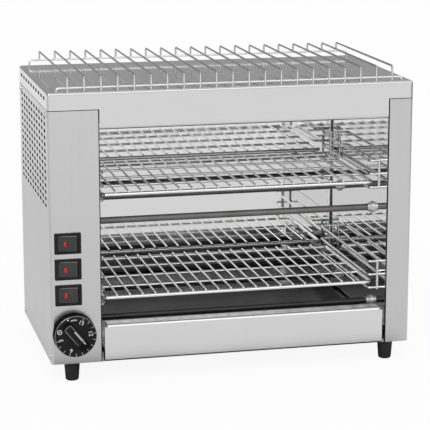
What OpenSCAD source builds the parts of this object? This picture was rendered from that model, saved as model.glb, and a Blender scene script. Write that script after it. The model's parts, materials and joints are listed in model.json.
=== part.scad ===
// Two-level salamander grill: a folded stainless casing round a polished cavity,
// two wire racks between three rows of heating tubes, a crumb tray and a warming grid on top.
// Millimetres, +Z up, front face towards -Y, origin on the floor below the middle of the body.

/* [Body] */
// Width of the casing
body_w = 440; // [400:1:530]
// Depth of the casing, front face to rear panel
body_d = 240; // [220:1:290]
// Height of the casing without feet and grid
body_h = 322; // [310:1:390]
// Height of the rubber feet
foot_h = 23; // [15:1:35]
// Diameter of a foot at its top
foot_d = 19; // [17:0.5:23]
// Feet from the casing's sides
foot_inset_x = 25.5; // [24:0.5:26]
// Feet from the casing's front and back
foot_inset_y = 12; // [11:0.5:30]
// Thickness of the steel sheet
sheet = 1; // [0.8:0.1:1.2]
// Outer radius of the casing's bends
bend_r = 3; // [2:0.5:5]
// Width of the control column on the left
left_col_w = 60; // [60:1:80]
// Width of the column on the right
right_col_w = 30; // [28:1:50]
// Height of the top cover's edge
hood_h = 21; // [18:0.5:26]
// Height of the fascia between the columns, from the top
fascia_h = 44.5; // [38:0.5:48]
// Gap at the casing's seams
seam_gap = 0.4; // [0.2:0.1:0.8]

/* [Vents] */
// Length of a vent slot
slot_len = 12; // [8:0.5:15]
// Height of a vent slot
slot_w = 4; // [2.5:0.5:5]
// Slots across the side
slot_cols = 10; // [4:1:10]
// Rows of slots
slot_rows = 14; // [4:1:16]
// Pitch of the slots across the side
slot_pitch_y = 21.3; // [18:0.1:21.5]
// Pitch of the rows
slot_pitch_z = 8; // [6:0.5:9]
// First row below the top
slot_drop = 31; // [30:1:50]
// Row in the cover's edge below the top
hood_slot_drop = 9; // [8:0.5:11]

/* [Cavity] */
// Cavity's left wall from the column's edge, hidden behind the column
wall_lap = 12; // [10:1:12]
// Room behind the cavity's back wall
back_room = 8; // [4:1:20]
// Outer radius of the cavity's rear corners
liner_r = 5; // [3:0.5:8]
// Ceiling of the cavity below the top
ceiling_drop = 33; // [30:1:36]
// Height of the ceiling's upturned edges
ceiling_edge = 8; // [5:1:8]

/* [Rack guides] */
// Wire of the guide rungs
guide_wire = 3; // [2.5:0.5:4]
// Wire of the guide uprights
upright_wire = 3.4; // [3:0.2:4]
// Height between rungs
guide_pitch = 16.5; // [14:0.5:20]
// Rungs on each guide
guide_levels = 3; // [2:1:3]
// Rungs from the cavity's side wall
rung_off = 18; // [16:1:24]
// Uprights from the cavity's side wall
upright_off = 6; // [5:0.5:7]
// Front of the guides behind the front face
guide_front = 15; // [15:1:20]
// Length of the guides
guide_len = 200; // [150:1:210]
// Bend radius of the rung ends, at the wire's middle
rung_bend = 5; // [4:0.5:8]
// Lowest rung of the lower guides above the casing's bottom
lower_rung = 66; // [62:1:72]
// Lower guides to upper guides
level_gap = 125; // [110:1:140]

/* [Racks] */
// Rod of the rack's frame
rack_rod = 5; // [4:0.5:6]
// Wires that carry the food
rack_wire = 2.5; // [2:0.25:3]
// Cross wires below them
cross_wire = 3; // [2.5:0.25:3.5]
// Pitch of the carrying wires
rack_pitch = 15.5; // [12:0.5:20]
// First and last carrying wire from the frame's sides, at least
rack_first = 16; // [10:0.5:20]
// Frame rod's middle from the mouth's left edge
rack_left = 7; // [3:0.5:8]
// Frame rod's middle from the cavity's right wall
rack_side = 11; // [10.5:0.5:12]
// Front rod behind the front face
rack_front = 26; // [22:1:30]
// Depth of the rack between its front and rear rods
rack_depth = 188; // [150:1:195]
// Corner radius of the frame, at the rod's middle
rack_corner = 5; // [5:0.5:12]
// Clearance between a piece that slides and what carries it
run_gap = 0.3; // [0.2:0.1:0.6]

/* [Heating] */
// Sheathed heating tube
tube_d = 8; // [6:0.5:9.5]
// Front tubes behind the front face
tube_front = 58; // [50:1:70]
// Rear tubes behind the front face
tube_rear = 193; // [160:1:195]
// Lower tubes above the casing's bottom
lower_tube = 38; // [34:1:42]
// Middle tubes above the casing's bottom
middle_tube = 157.5; // [150:0.5:165]
// Top tubes below the cavity's ceiling
top_tube = 10; // [9:0.5:20]
// Collar of the bushes that hold the tubes
bush_d = 14; // [13:0.5:16]
// Thickness of that collar
bush_t = 2.4; // [1.5:0.1:4]
// Neck of a bush beyond its collar
bush_neck = 4; // [2:0.5:6]

/* [Crumb tray] */
// Side gap of the tray's front
tray_gap = 3.5; // [2:0.5:5]
// Height of the tray's front
tray_front_h = 44; // [36:0.5:48]
// Depth of the flange along its top
tray_flange = 18; // [10:0.5:22]
// Radius of its upper corners
tray_corner = 3.5; // [3:0.5:10]
// Height of the pan
pan_h = 15; // [10:0.5:18]
// Side gap of the pan
pan_gap = 4.5; // [4:0.5:8]

/* [Switches] */
// Width of a switch bezel
bezel_w = 31.4; // [30:0.2:34]
// Height of a switch bezel
bezel_h = 25; // [24:0.5:28]
// Thickness of the bezel in front of the column
bezel_t = 2; // [1.5:0.25:2.5]
// Width of the bezel's frame at its sides
bezel_side = 3.8; // [3:0.1:4.5]
// Width of the bezel's frame above and below
bezel_rail = 2.9; // [2.5:0.1:4]
// Switches from the left side
switch_x = 21; // [20:0.5:24]
// Lowest switch above the casing's bottom
switch_low = 83.5; // [80:0.5:90]
// Pitch of the switches
switch_pitch = 31; // [29:0.5:34]
// Tilt of a rocker to each side
rocker_tilt = 7; // [5:0.5:8]

/* [Timer] */
// Diameter of the timer knob
knob_d = 50.5; // [44:0.5:53]
// Knob from the left side
knob_x = 26.5; // [26.5:0.5:30]
// Knob above the casing's bottom
knob_z = 37; // [34:0.5:42]
// Face of the knob in front of the column
knob_face = 15; // [12:0.5:18]
// Height of the grip on that face
grip_h = 9; // [6:0.5:12]
// Grip above the knob's middle
grip_up = 19; // [16:0.5:21]
// Grip below the knob's middle
grip_down = 20; // [16:0.5:22]
// Width of the grip
grip_w = 12; // [9:0.5:14]
// Turn of the grip from upright, as photographed
grip_turn = 39; // [0:1:180]

/* [Top grid] */
// Wire of the grid
grid_wire = 2.5; // [2:0.25:3]
// Raised wires
grid_n = 21; // [9:1:21]
// Pitch of the raised wires
grid_pitch = 19.5; // [15:0.5:20]
// Raised wires above the cover, at their middle
grid_h = 17.5; // [14:0.5:24]
// Front and rear legs from the casing's faces
grid_inset = 6.5; // [6:0.5:20]
// Bend radius of the wires, at the wire's middle
grid_bend = 3.5; // [3:0.25:5]
// Front cross wire above the cover, at its middle
grid_front_z = 4; // [3:0.5:6]
// Rear cross wire above the cover, at its middle
grid_rear_z = 7; // [5:0.5:9]

/* [Cable gland] */
// How far the gland stands out behind
gland_out = 24; // [16:1:26]
// Bore for the cable
gland_bore = 8; // [6:0.5:10]

/* [Hidden] */
$fn = 48;
// How far a cut runs past the face it opens
cut = 1;
// How far a welded wire sinks into the one that carries it
weld = 0.5;

// Main planes
left = -body_w / 2;
right = body_w / 2;
front = -body_d / 2;
back = body_d / 2;
bottom = foot_h;
top = foot_h + body_h;
seam_z = top - hood_h;
floor_z = bottom + sheet;

// Mouth between the columns, and the cavity behind it, measured at its inner faces
mouth_l = left + left_col_w;
cav_l = mouth_l - wall_lap;
cav_r = right - right_col_w;
cav_mid = (cav_l + cav_r) / 2;
mouth_mid = (mouth_l + cav_r) / 2;
mouth_w = cav_r - mouth_l;
cav_back = back - back_room;
liner_drop = 2;
liner_top = seam_z - liner_drop;
ceiling_z = top - ceiling_drop;
flange_r = 2;
liner_lip = 4;

// Levels
rungs = [bottom + lower_rung, bottom + lower_rung + level_gap];
tubes_z = [bottom + lower_tube, bottom + middle_tube, ceiling_z - top_tube];
tubes_y = [front + tube_front, front + tube_rear];
rack_x = [mouth_l + rack_left, cav_r - rack_side];
rack_y = [front + rack_front, front + rack_front + rack_depth];
guide_y = [front + guide_front, front + guide_front + guide_len];
rung_steps = [for (i = [0:guide_levels - 1]) i * guide_pitch];
leg_past = 3;
upright_past = guide_wire / 2 + weld;
bush_neck_d = tube_d + 2;
tube_past = 9;
pin_past = 16;
pin_d = 3;
pin_nut_w = 7;
pin_nut_h = 2.5;
tag_t = 0.8;
tag_len = 16;
tag_off = 5;
function rack_z(level) = rungs[level] + guide_wire / 2 + run_gap + rack_rod / 2;

// Screws in the side walls, as depth and height
side_screw_inset = 14;
side_screw_low = bottom + 7;
side_screw_high = seam_z - 6;
side_screw_y = [front + side_screw_inset, back - side_screw_inset];
side_screw_z = [side_screw_low, side_screw_high];
screw_d = 3;
screw_head_d = 6;
screw_head_h = 2;
screw_len = 6;
screw_clear = 0.2;
strap_w = 14;
strap_reach = 8;

// Rear panel
return_w = 12;
rear_screw_inset = 20;
rear_screw_x = [left + return_w / 2, right - return_w / 2];
rear_screw_z = [bottom + rear_screw_inset, (bottom + seam_z) / 2, seam_z - rear_screw_inset];

// Base and feet
base_edge = 15;
foot_x = body_w / 2 - foot_inset_x;
foot_y = body_d / 2 - foot_inset_y;
foot_taper = 1.6;
foot_edge = 2.5;
foot_screw_d = 4;
foot_head_d = 7;
foot_head_h = 3;
foot_recess_d = foot_head_d + 1;
foot_recess_h = foot_h / 2;
foot_nut_d = 6;
foot_nut_h = 7;
thread_clear = 0.1;

// Control bay
bay_x = left + left_col_w / 2;
shield_gap = 5;
shield_front = 30;
shield_rear = 12;
shield_foot = 4;
switch_cx = left + switch_x;
switches_z = [for (i = [2:-1:0]) bottom + switch_low + i * switch_pitch];
bezel_lap = [1.7, 1.5];
housing_w = bezel_w - 2 * bezel_lap.x;
housing_h = bezel_h - 2 * bezel_lap.y;
housing_d = 22;
panel_fit = 0.2;
well_w = bezel_w - 2 * bezel_side;
well_h = bezel_h - 2 * bezel_rail;
bezel_corner = 1.2;
bezel_chamfer = 0.8;
well_d = 8;
pivot_y = front + 1;
pivot_d = 3;
pivot_gap = 0.1;
pivot_reach = well_h / 2 + 1;
rocker_gap = 0.35;
rocker_face = 3.3;
rocker_back = 2.5;
rocker_edge = 0.6;
dish_r = 80;
dish_deep = 0.7;
lens_w = 4.5;
lens_h = 7;
lens_x = -3;
lens_out = 1.4;
lens_deep = 1;
lens_r = 2.6;
// Face of the dish at the lens, in front of the pivot
lens_face = rocker_face - dish_deep + dish_r - sqrt(dish_r * dish_r - lens_x * lens_x);
blade_w = 6.3;
blade_t = 0.8;
blade_len = 9;
blade_pitch = 8;

// Timer
timer_x = left + knob_x;
timer_z = bottom + knob_z;
timer_h = 44;
timer_l = left + 4;
timer_r = cav_l - liner_lip - seam_gap;
timer_d = 26;
bush_out = 4;
timer_bush_d = 9;
shaft_d = 6;
shaft_in = 13;
knob_gap = 1.5;
knob_t = knob_face - knob_gap;
knob_draft = 0.4;
rim_round = 1.2;
nut_w = 13;
nut_t = 2;
knob_well_d = 18;
knob_well_h = bush_out + 1;
knob_bore = knob_face;
knob_wall = 2.5;
grip_draft = 1;
grip_chamfer = 1.2;
grip_nose = 2;
grip_drop = 3.5;
grip_flat = 7;
grip_tail = 1.5;

// Cable gland
gland_x = left + 30;
gland_z = bottom + 42;
gland_thread_d = 16;
gland_thread_in = 10;
gland_hex = 24;
gland_hex_t = 6;
gland_nut_t = 5;
gland_d = 19;
gland_dome = 8;

// Terminal block
block_len = 44;
block_w = 17;
block_h = 15;
block_x = gland_x + 2;
block_y = back - 60;
block_pitch = 13;
block_wire_z = floor_z + 7;
block_wire_d = 6;
block_screw_d = 5;
clamp_len = 14;
clamp_d = 5.8;
clamp_bore = 3.4;
clamp_bore_len = 6;
clamp_screw_d = 4.6;
clamp_screw_drop = 2;

// Earth stud
stud_y = back - 100;
stud_d = 4;
stud_len = 14;
stud_nut_w = 8;
stud_nut_t = 3;

// Tray rails
rail_gap = 2;
rail_h = 8;
rail_front = 6;

// Pegs at the ends of the grid's cross wires, outside the last raised wires
peg_out = 13;

// Sheet helpers: an outline drawn in two directions and given a thickness

module sheet_xz(y, t = sheet)
    translate([0, y + t, 0])
        rotate([90, 0, 0])
            linear_extrude(t)
                children();

module sheet_yz(x, t = sheet)
    translate([x, 0, 0])
        rotate([90, 0, 90])
            linear_extrude(t)
                children();

module sheet_xy(z, t = sheet)
    translate([0, 0, z])
        linear_extrude(t)
            children();

module span(from, to)
    translate(from)
        square(to - from);

module obround(len, w) {
    square([len - w, w], center = true);
    for (s = [-1, 1])
        translate([s * (len - w) / 2, 0])
            circle(d = w);
}

module rounded(size, r) {
    square([size.x - 2 * r, size.y], center = true);
    square([size.x, size.y - 2 * r], center = true);
    for (sx = [-1, 1], sy = [-1, 1])
        translate([sx * (size.x / 2 - r), sy * (size.y / 2 - r)])
            circle(r);
}

// Quarter ring of a bend, its middle at the origin, in the quadrant of the two signs
module bend(r, sx, sy)
    intersection() {
        difference() {
            circle(r);
            circle(r - sheet);
        }
        translate([min(sx, 0) * r, min(sy, 0) * r])
            square(r);
    }

// Cylinder from one point along an axis
module rod_x(from, to, y, z, d)
    translate([from, y, z])
        rotate([0, 90, 0])
            cylinder(h = to - from, d = d);

module rod_y(x, from, to, z, d)
    translate([x, from, z])
        rotate([-90, 0, 0])
            cylinder(h = to - from, d = d);

module rod_z(x, y, from, to, d)
    translate([x, y, from])
        cylinder(h = to - from, d = d);

// Quarter of a bent wire in the XY plane, its bend's middle at the origin
module elbow(r, d, start)
    rotate([0, 0, start])
        rotate_extrude(angle = 90)
            translate([r, 0])
                circle(d = d);

// Round head with a shank behind it; the head lies above z = 0
module screw(len, d = screw_d, head_d = screw_head_d, head_h = screw_head_h) {
    rotate_extrude()
        intersection() {
            translate([0, head_h - head_r(head_d, head_h)])
                circle(head_r(head_d, head_h));
            square([head_d, head_h]);
        }
    translate([0, 0, -len])
        cylinder(h = len, d = d);
}

// Radius of a domed head of the given width and height
function head_r(d, h) = (d * d / 4 + h * h) / (2 * h);

// Casing sheets

function slot_y(i) = (i - (slot_cols - 1) / 2) * slot_pitch_y;

module slot_row(z)
    for (i = [0:slot_cols - 1])
        translate([slot_y(i), z])
            obround(slot_len, slot_w);

module side_holes()
    for (y = side_screw_y, z = side_screw_z)
        translate([y, z])
            circle(d = screw_d + screw_clear);

// Side wall, soft front corner, front column and rear return, folded from one sheet.
// The first child is cut from the side wall, the second from the column.
module folded_wall(sign, col_w) {
    x_out = sign * body_w / 2;
    sheet_yz(sign < 0 ? x_out : x_out - sheet)
        difference() {
            span([front + bend_r, bottom], [back - sheet, seam_z]);
            side_holes();
            children(0);
        }
    sheet_xz(front)
        difference() {
            if (sign < 0)
                span([left + bend_r, bottom], [left + col_w, seam_z]);
            else
                span([right - col_w, bottom], [right - bend_r, seam_z]);
            children(1);
        }
    translate([x_out - sign * bend_r, front + bend_r, bottom])
        linear_extrude(seam_z - bottom)
            bend(bend_r, sign, -1);
    sheet_xz(back - 2 * sheet)
        difference() {
            if (sign < 0)
                span([left, bottom], [left + return_w, seam_z]);
            else
                span([right - return_w, bottom], [right, seam_z]);
            rear_holes();
        }
}

module rear_holes()
    for (x = rear_screw_x, z = rear_screw_z)
        translate([x, z])
            circle(d = screw_d + screw_clear);

module left_casing()
    color("gainsboro")
        folded_wall(-1, left_col_w) {
            for (i = [0:slot_rows - 1])
                slot_row(top - slot_drop - i * slot_pitch_z);
            union() {
                for (z = switches_z)
                    translate([switch_cx, z])
                        square([housing_w + panel_fit, housing_h + panel_fit], center = true);
                translate([timer_x, timer_z])
                    circle(d = timer_bush_d + panel_fit);
            }
        }

module right_casing()
    color("gainsboro")
        folded_wall(1, right_col_w) {
            union();
            union();
        }

// Cover: a lid with bent edges, its fascia dropping between the columns
module top_cover()
    color("silver") {
        w = body_w / 2 - bend_r;
        d = body_d / 2 - bend_r;
        edge_z = seam_z + seam_gap;
        sheet_xy(top - sheet)
            span([-w, -d], [w, d]);
        for (s = [-1, 1]) {
            sheet_yz(-w, 2 * w)
                translate([s * d, top - bend_r])
                    bend(bend_r, s, 1);
            sheet_xz(-d, 2 * d)
                translate([s * w, top - bend_r])
                    bend(bend_r, s, 1);
            sheet_yz(s < 0 ? left : right - sheet)
                difference() {
                    span([-d, edge_z], [d, top - bend_r]);
                    slot_row(top - hood_slot_drop);
                }
            for (t = [-1, 1])
                translate([s * w, t * d, 0])
                    lid_corner(s, t, edge_z);
            for (y = side_screw_y)
                screw_tongue(s, y);
        }
        sheet_xz(back - sheet)
            span([-w, edge_z], [w, top - bend_r]);
        fascia(w, edge_z);
    }

// Upright bend and rounded corner of the lid
module lid_corner(sx, sy, edge_z) {
    translate([0, 0, edge_z])
        linear_extrude(top - bend_r - edge_z)
            bend(bend_r, sx, sy);
    translate([0, 0, top - bend_r])
        rotate([0, 0, sx > 0 ? (sy > 0 ? 0 : 270) : (sy > 0 ? 90 : 180)])
            rotate_extrude(angle = 90)
                bend(bend_r, 1, 1);
}

// Strap inside the cover's edge that the side wall is screwed to
module screw_tongue(sign, y)
    sheet_yz(sign < 0 ? left + sheet : right - 2 * sheet)
        difference() {
            span([y - strap_w / 2, side_screw_high - strap_reach], [y + strap_w / 2, seam_z + strap_reach]);
            translate([y, side_screw_high])
                circle(d = screw_d + screw_clear);
        }

module fascia(w, edge_z) {
    fascia_z = top - fascia_h;
    hem = 10;
    l = mouth_l + seam_gap;
    r = cav_r - seam_gap;
    sheet_xz(front) {
        span([-w, edge_z], [w, top - bend_r]);
        span([l, fascia_z + bend_r], [r, edge_z + sheet]);
    }
    sheet_yz(l, r - l)
        translate([front + bend_r, fascia_z + bend_r])
            bend(bend_r, -1, -1);
    sheet_xy(fascia_z)
        span([l, front + bend_r], [r, front + hem]);
}

module base_plate()
    color("lightgray") {
        difference() {
            sheet_xy(bottom) {
                span([left + bend_r, front + sheet], [right - bend_r, back - 2 * sheet]);
                span([left + sheet, front + bend_r], [right - sheet, back - 2 * sheet]);
                span([left + return_w + sheet, 0], [right - return_w - sheet, back - sheet]);
            }
            for (p = foot_points())
                translate([p.x, p.y, 0])
                    rod_z(0, 0, bottom - cut, floor_z + cut, foot_screw_d + screw_clear);
            translate([bay_x, 0, bottom - cut])
                linear_extrude(sheet + 2 * cut)
                    for (i = [-2:2])
                        translate([0, i * slot_pitch_z * 2])
                            obround(slot_len * 2, slot_w);
        }
        for (s = [-1, 1])
            sheet_yz(s < 0 ? left + sheet : right - 2 * sheet)
                difference() {
                    span([front + bend_r, bottom], [back - 2 * sheet, bottom + base_edge]);
                    side_holes();
                }
        sheet_xz(back - 2 * sheet)
            span([left + return_w + sheet, bottom], [right - return_w - sheet, bottom + base_edge]);
    }

function foot_points() = [for (x = [-foot_x, foot_x], y = [-foot_y, foot_y]) [x, y]];

module rear_panel()
    color("lightgray")
        sheet_xz(back - sheet)
            difference() {
                span([left + seam_gap, bottom], [right - seam_gap, seam_z]);
                rear_holes();
                translate([gland_x, gland_z])
                    circle(d = gland_thread_d + panel_fit);
            }

// Cavity

module tube_holes()
    for (y = tubes_y, z = tubes_z)
        translate([y, z])
            circle(d = bush_neck_d + 2 * screw_clear);

module leg_holes()
    for (y = guide_y, level = rungs, step = rung_steps)
        translate([y, level + step])
            circle(d = guide_wire + 2 * screw_clear);

// Polished wrap-round wall with rounded rear corners and lips behind the columns
module cavity_liner()
    color("whitesmoke") {
        corner = liner_r - sheet;
        h = liner_top - floor_z;
        for (s = [-1, 1]) {
            x = s < 0 ? cav_l : cav_r;
            sheet_yz(s < 0 ? x - sheet : x)
                difference() {
                    span([front + sheet + flange_r, floor_z], [cav_back - corner, liner_top]);
                    tube_holes();
                    leg_holes();
                }
            translate([x - s * corner, cav_back - corner, floor_z])
                linear_extrude(h)
                    bend(liner_r, s, 1);
            translate([x + s * flange_r, front + sheet + flange_r, floor_z])
                linear_extrude(h)
                    bend(flange_r, -s, -1);
            sheet_xz(front + sheet)
                span([min(x + s * flange_r, x + s * liner_lip), floor_z],
                     [max(x + s * flange_r, x + s * liner_lip), liner_top]);
        }
        sheet_xz(cav_back)
            span([cav_l + corner, floor_z], [cav_r - corner, liner_top]);
    }

// Shallow channel that closes the cavity above the top tubes
module ceiling_reflector()
    color("whitesmoke")
        sheet_xz(front + 2 * sheet, body_d - back_room - 3 * sheet - liner_r)
            translate([cav_mid, ceiling_z])
                channel(cav_r - cav_l, ceiling_edge);

module channel(w, h)
    intersection() {
        translate([0, h])
            difference() {
                rounded([w, 2 * h], flange_r);
                rounded([w - 2 * sheet, 2 * h - 2 * sheet], flange_r - sheet);
            }
        translate([-w / 2, 0])
            square([w, h]);
    }

// Plate that keeps the cavity's heat from the controls
module heat_shield()
    color("lightgray") {
        x = cav_l - sheet - shield_gap;
        sheet_yz(x - sheet)
            difference() {
                span([front + shield_front, floor_z], [back - shield_rear, liner_top]);
                for (y = tubes_y, z = tubes_z)
                    translate([y, z])
                        circle(d = bush_d + shield_gap);
            }
        sheet_xy(floor_z)
            span([x - sheet, front + shield_front], [x + shield_foot, back - shield_rear]);
    }

// Wire ladder on a side wall: rungs whose bent legs plug into the wall, tied by two uprights
module guide(level)
    color("silver") {
        rung_x = cav_l + rung_off;
        for (step = rung_steps) {
            z = rungs[level] + step;
            rod_y(rung_x, guide_y[0] + rung_bend, guide_y[1] - rung_bend, z, guide_wire);
            for (e = [0, 1]) {
                turn = e == 0 ? 1 : -1;
                translate([rung_x - rung_bend, guide_y[e] + turn * rung_bend, z])
                    elbow(rung_bend, guide_wire, elbow_start(-1, turn));
                rod_x(cav_l - leg_past, rung_x - rung_bend, guide_y[e], z, guide_wire);
            }
        }
        for (y = guide_y)
            rod_z(cav_l + upright_off, y, rungs[level] - upright_past,
                  rungs[level] + rung_steps[guide_levels - 1] + upright_past, upright_wire);
    }

// The same piece on the other side of the cavity
module mirrored()
    translate([2 * cav_mid, 0, 0])
        mirror([1, 0, 0])
            children();

// Where the quarter bend at a rung's end starts
function elbow_start(sign, turn) = turn > 0 ? (sign > 0 ? 180 : 270) : (sign > 0 ? 90 : 0);

// Heating

module element(row, line)
    color("dimgray") {
        y = tubes_y[line];
        z = tubes_z[row];
        rod_x(cav_l - tube_past, cav_r + tube_past, y, z, tube_d);
        rod_x(cav_l - pin_past, cav_r + pin_past, y, z, pin_d);
    }

// Flanged bush in the wall round each tube end
module bush() {
    past = sheet + bush_t;
    reach = past + bush_t + bush_neck;
    rotate_extrude()
        difference() {
            union() {
                square([bush_d / 2, bush_t]);
                translate([0, -past])
                    square([bush_neck_d / 2, reach]);
            }
            translate([0, -past - cut])
                square([tube_d / 2 + thread_clear, reach + 2 * cut]);
        }
}

module element_bushes()
    color("linen")
        for (y = tubes_y, z = tubes_z) {
            translate([cav_l, y, z])
                rotate([0, 90, 0])
                    bush();
            translate([cav_r, y, z])
                rotate([0, -90, 0])
                    bush();
        }

// Nut and tag on each tube's pin
module element_terminals()
    color("goldenrod")
        for (y = tubes_y, z = tubes_z, s = [-1, 1]) {
            x = s < 0 ? cav_l - tube_past : cav_r + tube_past;
            translate([x + s * pin_nut_h, y, z])
                rotate([0, s * 90, 0])
                    difference() {
                        union() {
                            cylinder(h = pin_nut_h, d = pin_nut_w, $fn = 6);
                            translate([0, tag_off, -tag_t])
                                linear_extrude(tag_t)
                                    square([blade_w, tag_len], center = true);
                        }
                        translate([0, 0, -tag_t - cut])
                            cylinder(h = pin_nut_h + tag_t + 2 * cut, d = pin_d + thread_clear);
                    }
        }

// Crumb tray

module tray_rails()
    color("lightgray")
        for (s = [-1, 1]) {
            wall = s < 0 ? cav_l : cav_r;
            x = (s < 0 ? mouth_l : cav_r) - s * (pan_gap - rail_gap);
            sheet_yz(s < 0 ? x - sheet : x)
                span([front + rail_front, floor_z], [cav_back - liner_r, floor_z + rail_h]);
            sheet_xy(floor_z)
                span([min(x, wall), front + rail_front], [max(x, wall), cav_back - liner_r]);
        }

module tray_pan()
    color("whitesmoke") {
        w = mouth_w - 2 * pan_gap;
        from = front + sheet;
        to = cav_back - liner_r;
        z = floor_z + run_gap;
        difference() {
            translate([mouth_mid - w / 2, from, z])
                cube([w, to - from, pan_h]);
            translate([mouth_mid - w / 2 + sheet, from + sheet, z + sheet])
                cube([w - 2 * sheet, to - from - 2 * sheet, pan_h]);
        }
    }

module tray_front()
    color("gainsboro") {
        w = mouth_w - 2 * tray_gap;
        z = bottom + sheet / 2;
        sheet_xz(front)
            intersection() {
                translate([mouth_mid, z + tray_front_h / 2 - tray_corner])
                    rounded([w, tray_front_h + 2 * tray_corner], tray_corner);
                span([mouth_mid - w, z], [mouth_mid + w, z + tray_front_h - bend_r]);
            }
        flange_w = w - 2 * tray_corner;
        sheet_yz(mouth_mid - flange_w / 2, flange_w)
            translate([front + bend_r, z + tray_front_h - bend_r])
                bend(bend_r, -1, 1);
        sheet_xy(z + tray_front_h - sheet)
            span([mouth_mid - flange_w / 2, front + bend_r], [mouth_mid + flange_w / 2, front + tray_flange]);
    }

// Racks

module rack(level)
    color("whitesmoke") {
        z = rack_z(level);
        w = rack_x[1] - rack_x[0];
        wire_z = z + rack_rod / 2 + rack_wire / 2 - weld;
        cross_z = wire_z - rack_wire / 2 - cross_wire / 2 + weld;
        n = floor((w - 2 * rack_first) / rack_pitch);
        for (y = rack_y)
            rod_x(rack_x[0] + rack_corner, rack_x[1] - rack_corner, y, z, rack_rod);
        for (side = [0, 1]) {
            rod_y(rack_x[side], rack_y[0] + rack_corner, rack_y[1] - rack_corner, z, rack_rod);
            for (end = [0, 1])
                rack_bend(side, end, z);
        }
        for (i = [1:3])
            rod_x(rack_x[0], rack_x[1], rack_y[0] + i * rack_depth / 4, cross_z, cross_wire);
        for (i = [0:n])
            rod_y(rack_x[0] + rack_first + i * rack_pitch, rack_y[0] - rack_rod / 4, rack_y[1] + rack_rod / 4,
                  wire_z, rack_wire);
    }

// Bent corner of a rack's frame, at the left or right side and the front or rear end
module rack_bend(side, end, z) {
    in = side == 0 ? 1 : -1;
    turn = end == 0 ? 1 : -1;
    translate([rack_x[side] + in * rack_corner, rack_y[end] + turn * rack_corner, z])
        elbow(rack_corner, rack_rod, elbow_start(in, turn));
}

// Switches

module switch_housing(i)
    color("dimgray") {
        z = switches_z[i];
        difference() {
            union() {
                translate([switch_cx, front, z])
                    bezel();
                sheet_xz(front, housing_d)
                    translate([switch_cx, z])
                        square([housing_w, housing_h], center = true);
            }
            sheet_xz(front - bezel_t - cut, bezel_t + cut + well_d)
                translate([switch_cx, z])
                    square([well_w, well_h], center = true);
            rod_z(switch_cx, pivot_y, z - pivot_reach - pivot_gap, z + pivot_reach + pivot_gap,
                  pivot_d + 2 * pivot_gap);
        }
    }

// Plate with rounded corners and a chamfer round its front, standing on y = 0
module bezel()
    intersection() {
        sheet_xz(-bezel_t, bezel_t)
            rounded([bezel_w, bezel_h], bezel_corner);
        linear_extrude(bezel_h, center = true)
            chamfered(bezel_w, bezel_t, bezel_chamfer);
        rotate([0, 90, 0])
            linear_extrude(bezel_w, center = true)
                chamfered(bezel_h, bezel_t, bezel_chamfer);
    }

// Section of a plate from y = 0 to its front at y = -t, chamfered at both front corners
module chamfered(w, t, edge)
    polygon([
        [-w / 2, 0], [-w / 2, edge - t], [edge - w / 2, -t],
        [w / 2 - edge, -t], [w / 2, edge - t], [w / 2, 0]
    ]);

// Moves a shape drawn round a switch's pivot to its place, tilted as photographed
module at_rocker(i)
    translate([switch_cx, pivot_y, switches_z[i]])
        rotate([0, 0, -rocker_tilt])
            children();

// Rocker with a shallow dish across its face and softened upper and lower edges
module rocker(i)
    color([0.13, 0.13, 0.14])
        at_rocker(i) {
            h = well_h - 2 * rocker_gap;
            w = (well_w / 2 - rocker_gap - rocker_face * sin(rocker_tilt)) / cos(rocker_tilt) * 2;
            difference() {
                intersection() {
                    linear_extrude(h, center = true)
                        difference() {
                            translate([-w / 2, -rocker_face])
                                square([w, rocker_face + rocker_back]);
                            translate([0, dish_deep - rocker_face - dish_r])
                                circle(dish_r, $fn = 180);
                        }
                    translate([0, rocker_back, 0])
                        rotate([0, 90, 0])
                            linear_extrude(2 * w, center = true)
                                chamfered(h, rocker_face + rocker_back, rocker_edge);
                }
                lens_base();
            }
            rod_z(0, 0, -pivot_reach, pivot_reach, pivot_d);
        }

// Oval block that fills the lens's pocket and stands out in front of it
module lens_base(out = cut)
    translate([lens_x, 0, 0])
        sheet_xz(-lens_face - out, lens_deep + out)
            rotate(90)
                obround(lens_h, lens_w);

// Domed lens: the oval block under two balls joined by a rod
module lens(i)
    color("red")
        at_rocker(i)
            intersection() {
                lens_base(lens_out);
                translate([lens_x, lens_r - lens_out - lens_face, 0]) {
                    half = (lens_h - lens_w) / 2;
                    cylinder(h = 2 * half, r = lens_r, center = true);
                    for (s = [-1, 1])
                        translate([0, 0, s * half])
                            sphere(lens_r);
                }
            }

module switch_terminals()
    color("goldenrod")
        for (z = switches_z, dx = [-blade_pitch, 0, blade_pitch])
            translate([switch_cx + dx - blade_t / 2, front + housing_d, z - blade_w / 2])
                cube([blade_t, blade_len, blade_w]);

// Timer

// Turns a shape drawn upwards so that it points out of the front, on the timer's axis
module on_timer(y)
    translate([timer_x, y, timer_z])
        rotate([90, 0, 0])
            children();

module timer_body()
    color("silver")
        difference() {
            union() {
                translate([timer_l, front + sheet, timer_z - timer_h / 2])
                    cube([timer_r - timer_l, timer_d, timer_h]);
                on_timer(front + sheet)
                    cylinder(h = sheet + bush_out, d = timer_bush_d);
            }
            on_timer(front + sheet + shaft_in + cut)
                cylinder(h = timer_d + sheet + bush_out, d = shaft_d + 2 * pivot_gap);
        }

module timer_nut()
    color("silver")
        on_timer(front)
            difference() {
                cylinder(h = nut_t, d = nut_w, $fn = 6);
                translate([0, 0, -cut])
                    cylinder(h = nut_t + 2 * cut, d = timer_bush_d + thread_clear);
            }

module timer_shaft()
    color("silver")
        on_timer(front + sheet + shaft_in)
            cylinder(h = sheet + shaft_in + knob_bore, d = shaft_d);

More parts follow.
